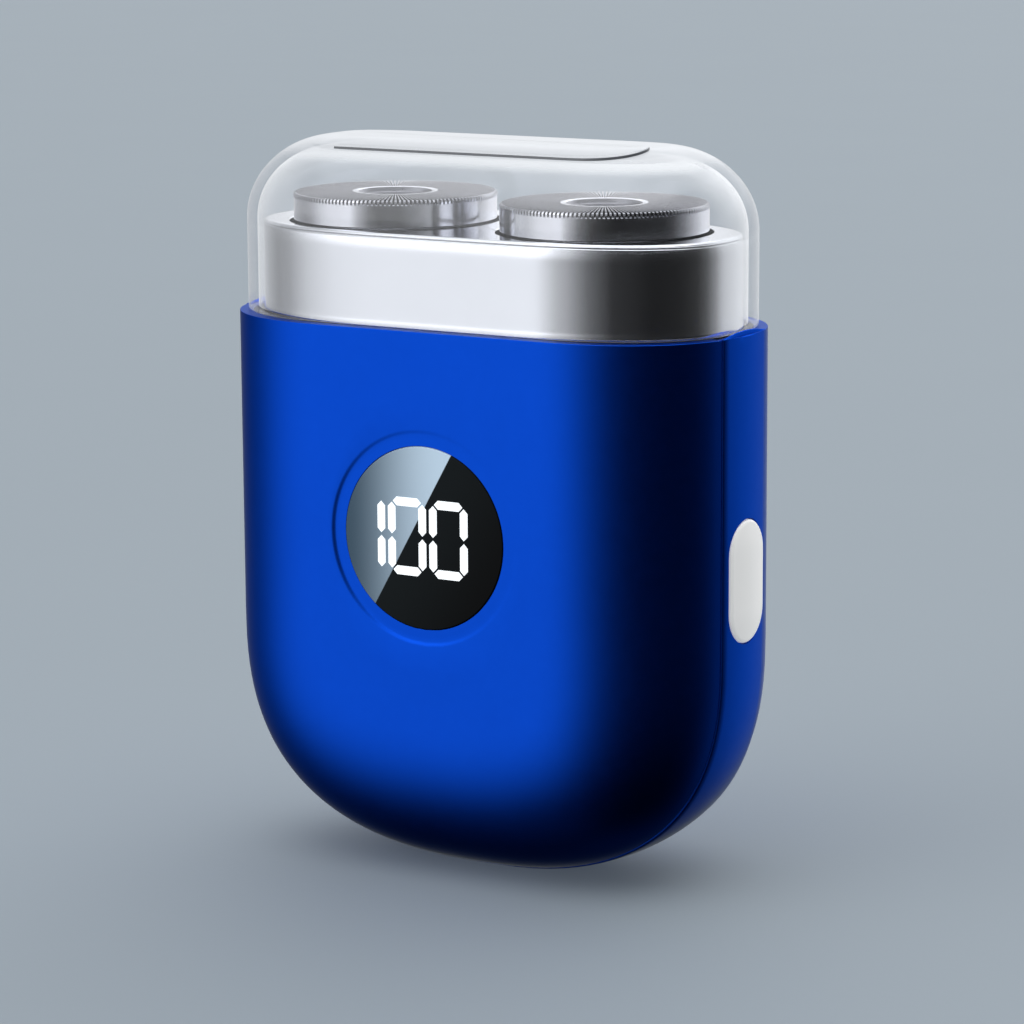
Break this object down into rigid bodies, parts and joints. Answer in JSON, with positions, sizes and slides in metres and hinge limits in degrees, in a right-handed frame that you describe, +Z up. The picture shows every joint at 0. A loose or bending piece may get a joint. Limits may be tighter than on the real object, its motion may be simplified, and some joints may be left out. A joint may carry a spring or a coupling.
{
  "type": "electric shaver",
  "caption": "Pocket rotary shaver: stadium-shaped body with a round display and a side button, plated head with two rotary cutters under a clear cap.",
  "frame": {"origin": "middle of the flat facet that the body stands on", "axes": "+Z up towards the cutters, -Y towards the display side, +X towards the power button"},
  "size_m": [0.0647, 0.032, 0.0843],
  "materials": {
    "blue_body": "moulded plastic with a satin metallic blue lacquer",
    "ivory_button": "satin ivory plastic",
    "clear_cap": "clear moulded plastic, slightly milky",
    "chrome_head": "polished plating",
    "cutter_steel": "ground and polished steel",
    "black_glass": "black polished lens",
    "black_plastic": "fine moulded texture",
    "grey_plastic": "moulded",
    "white_plastic": "moulded acetal",
    "circuit_board": "solder mask",
    "cell_wrap": "shrink sleeve over a steel cell",
    "steel_parts": "plated steel",
    "dark_iron": "dark magnet and laminated iron",
    "brass_parts": "machined brass",
    "black_rubber": "silicone rubber",
    "red_wire": "insulated wire",
    "black_wire": "insulated wire",
    "flex_cable": "polyimide film"
  },
  "bodies": {
    "housing": {"front_shell": "blue_body", "back_shell": "blue_body", "side_band": "blue_body", "display_lens": "black_glass", "display_module": "black_plastic", "main_board": "circuit_board", "charge_socket": "steel_parts", "charge_board": "circuit_board", "switch_board": "circuit_board", "tact_switch": "dark_iron", "battery_cell": "cell_wrap", "motor_can": "steel_parts", "motor_end_cap": "white_plastic", "gearbox": "grey_plastic", "drive_deck": "black_plastic", "head_seal": "black_rubber", "chassis": "black_plastic", "charge_lead": "black_wire", "switch_cable": "flex_cable", "battery_lead_black": "black_wire", "battery_lead_red": "red_wire", "motor_lead_black": "black_wire", "motor_lead_red": "red_wire", "battery_tab_left": "steel_parts", "motor_magnet_left": "dark_iron", "motor_terminal_left": "brass_parts", "gear_axle_left": "steel_parts", "board_screw_left": "steel_parts", "chassis_screw_left": "steel_parts", "battery_tab_right": "steel_parts", "motor_magnet_right": "dark_iron", "motor_terminal_right": "brass_parts", "gear_axle_right": "steel_parts", "board_screw_right": "steel_parts", "chassis_screw_right": "steel_parts", "deck_screw_front": "steel_parts", "motor_screw_front": "steel_parts", "deck_screw_back": "steel_parts", "motor_screw_back": "steel_parts"},
    "button": {"power_button": "ivory_button"},
    "motor": {"motor_rotor": "dark_iron", "drive_pinion": "brass_parts"},
    "head": {"head_cover": "chrome_head", "cutter_frame": "black_plastic"},
    "cap": {"travel_cap": "clear_cap"},
    "drive_left": {"drive_gear_left": "white_plastic", "drive_spindle_left": "steel_parts", "spindle_spring_left": "steel_parts"},
    "cutter_left": {"outer_cutter_left": "cutter_steel"},
    "blade_left": {"inner_blade_left": "cutter_steel"},
    "drive_right": {"drive_gear_right": "white_plastic", "drive_spindle_right": "steel_parts", "spindle_spring_right": "steel_parts"},
    "cutter_right": {"outer_cutter_right": "cutter_steel"},
    "blade_right": {"inner_blade_right": "cutter_steel"}
  },
  "joints": [
    {"name": "button_press", "type": "slide", "parent": "housing", "child": "button", "axis": [-1, 0, 0], "range_m": [0, 0.0004], "stiffness_N_per_m": 800, "springref_m": -0.0005},
    {"name": "motor_spin", "type": "hinge", "parent": "housing", "child": "motor", "pos_m": [0, 0, 0.045], "axis": [0, 0, 1], "continuous": true},
    {"name": "drive_left_spin", "type": "hinge", "parent": "housing", "child": "drive_left", "pos_m": [-0.014, 0, 0.0586], "axis": [0, 0, 1], "continuous": true},
    {"name": "drive_right_spin", "type": "hinge", "parent": "housing", "child": "drive_right", "pos_m": [0.014, 0, 0.0586], "axis": [0, 0, 1], "continuous": true},
    {"name": "head_lift", "type": "slide", "parent": "housing", "child": "head", "axis": [0, 0, 1], "range_m": [0, 0.03]},
    {"name": "cutter_left_float", "type": "slide", "parent": "head", "child": "cutter_left", "axis": [0, 0, 1], "range_m": [-0.0008, 0], "stiffness_N_per_m": 400, "springref_m": 0.001},
    {"name": "blade_left_spin", "type": "hinge", "parent": "cutter_left", "child": "blade_left", "pos_m": [-0.014, 0, 0.0745], "axis": [0, 0, 1], "continuous": true},
    {"name": "cutter_right_float", "type": "slide", "parent": "head", "child": "cutter_right", "axis": [0, 0, 1], "range_m": [-0.0008, 0], "stiffness_N_per_m": 400, "springref_m": 0.001},
    {"name": "blade_right_spin", "type": "hinge", "parent": "cutter_right", "child": "blade_right", "pos_m": [0.014, 0, 0.0745], "axis": [0, 0, 1], "continuous": true},
    {"name": "cap_lift", "type": "slide", "parent": "head", "child": "cap", "axis": [0, 0, 1], "range_m": [0, 0.035]}
  ],
  "couplings": [
    {"joint": "drive_left_spin", "follows": "motor_spin", "ratio": -0.33333},
    {"joint": "drive_right_spin", "follows": "motor_spin", "ratio": -0.33333},
    {"joint": "blade_left_spin", "follows": "motor_spin", "ratio": -0.33333},
    {"joint": "blade_right_spin", "follows": "motor_spin", "ratio": -0.33333}
  ]
}
